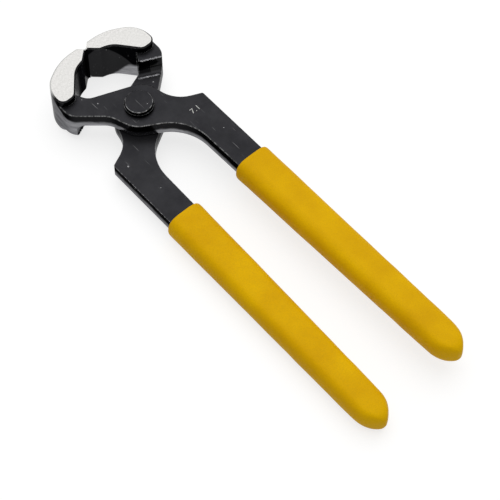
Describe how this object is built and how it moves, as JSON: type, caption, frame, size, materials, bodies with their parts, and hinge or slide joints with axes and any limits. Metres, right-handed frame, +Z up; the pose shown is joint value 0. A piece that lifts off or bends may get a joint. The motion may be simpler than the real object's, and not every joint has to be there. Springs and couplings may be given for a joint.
{
  "type": "end-cutting nippers",
  "caption": "Hand-held end-cutting nippers: broad ground cutting jaws on forged levers, lapped and riveted, with dipped grips.",
  "frame": {"origin": "centre of the underside, on the plane that the jaws rest on", "axes": "+Y along the closed tool from the grip ends to the jaw front, +Z up along the pivot's axis from the resting side, +X to the right of the two"},
  "size_m": [0.0466, 0.18, 0.018],
  "materials": {
    "black_steel": "black oxide, ground bright on the jaw faces",
    "rivet_steel": "black oxide, rubbed at the rims",
    "grip_plastic": "satin yellow dip"
  },
  "bodies": {
    "lower_half": {"lower_lever": "black_steel", "pivot_rivet": "rivet_steel", "rivet_washer": "rivet_steel", "lower_grip": "grip_plastic"},
    "upper_half": {"upper_lever": "black_steel", "upper_grip": "grip_plastic"}
  },
  "joints": [
    {"name": "pivot", "type": "hinge", "parent": "lower_half", "child": "upper_half", "pos_m": [0, 0.0573, 0.009], "axis": [0, 0, 1], "range_deg": [0, 50]}
  ]
}
